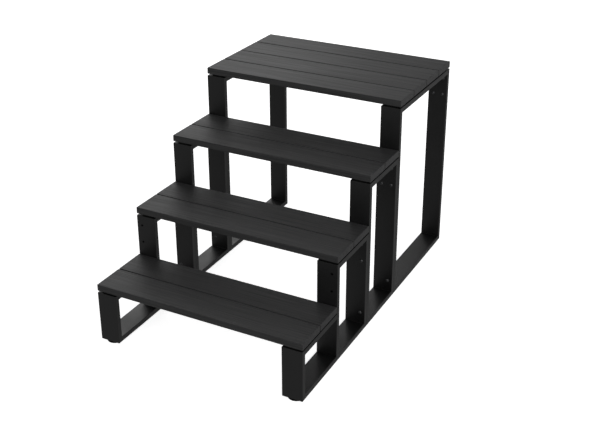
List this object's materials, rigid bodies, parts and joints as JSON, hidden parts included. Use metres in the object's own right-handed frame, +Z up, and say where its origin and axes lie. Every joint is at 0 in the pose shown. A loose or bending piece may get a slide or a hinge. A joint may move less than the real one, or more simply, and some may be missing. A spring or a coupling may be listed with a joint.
{
  "type": "pool and spa steps",
  "caption": "Free-standing steps up to a raised pool or spa: wide boards laid on stepped side frames of flat tube, bolted back to front and stood on screw feet.",
  "frame": {"origin": "centre of the bounding box in plan, on the floor under the feet", "axes": "+Z up; +Y from the lowest tread towards the back of the platform; +X to the right seen from the front"},
  "size_m": [0.846, 1.336, 0.8349],
  "materials": {
    "board": "matte",
    "frame": "satin",
    "strip": "matte",
    "screw": "satin",
    "fastener": "satin",
    "plain_steel": "satin",
    "glide": "matte"
  },
  "bodies": {
    "steps": {"tread_1_board_front": "board", "tread_1_board_rear": "board", "tread_2_board_front": "board", "tread_2_board_rear": "board", "tread_3_board_front": "board", "tread_3_board_rear": "board", "platform_board_1": "board", "platform_board_2": "board", "platform_board_3": "board", "platform_board_4": "board", "frame_1_left": "frame", "frame_1_right": "frame", "frame_2_left": "frame", "frame_2_right": "frame", "frame_3_left": "frame", "frame_3_right": "frame", "frame_4_left": "frame", "frame_4_right": "frame", "strip_1_left": "strip", "strip_1_right": "strip", "strip_2_left": "strip", "strip_2_right": "strip", "strip_3_left": "strip", "strip_3_right": "strip", "strip_4_left": "strip", "strip_4_right": "strip", "board_screws_1": "screw", "board_screws_2": "screw", "board_screws_3": "screw", "board_screws_4": "screw", "joint_bolts_2_3": "fastener", "joint_washers_2_3": "fastener", "joint_nuts_2_3": "fastener", "joint_bolts_3_4": "fastener", "joint_washers_3_4": "fastener", "joint_nuts_3_4": "fastener", "rear_bolts": "fastener", "rear_washers": "fastener", "rear_nuts": "fastener", "foot_nuts": "plain_steel"},
    "foot_front_left": {"foot_glide_front_left": "glide", "foot_stud_front_left": "plain_steel"},
    "foot_front_right": {"foot_glide_front_right": "glide", "foot_stud_front_right": "plain_steel"},
    "foot_rear_left": {"foot_glide_rear_left": "glide", "foot_stud_rear_left": "plain_steel"},
    "foot_rear_right": {"foot_glide_rear_right": "glide", "foot_stud_rear_right": "plain_steel"}
  },
  "joints": [
    {"name": "foot_front_left_screw", "type": "slide", "parent": "steps", "child": "foot_front_left", "axis": [0, 0, -1], "range_m": [0, 0.01]},
    {"name": "foot_front_right_screw", "type": "slide", "parent": "steps", "child": "foot_front_right", "axis": [0, 0, -1], "range_m": [0, 0.01]},
    {"name": "foot_rear_left_screw", "type": "slide", "parent": "steps", "child": "foot_rear_left", "axis": [0, 0, -1], "range_m": [0, 0.01]},
    {"name": "foot_rear_right_screw", "type": "slide", "parent": "steps", "child": "foot_rear_right", "axis": [0, 0, -1], "range_m": [0, 0.01]}
  ]
}
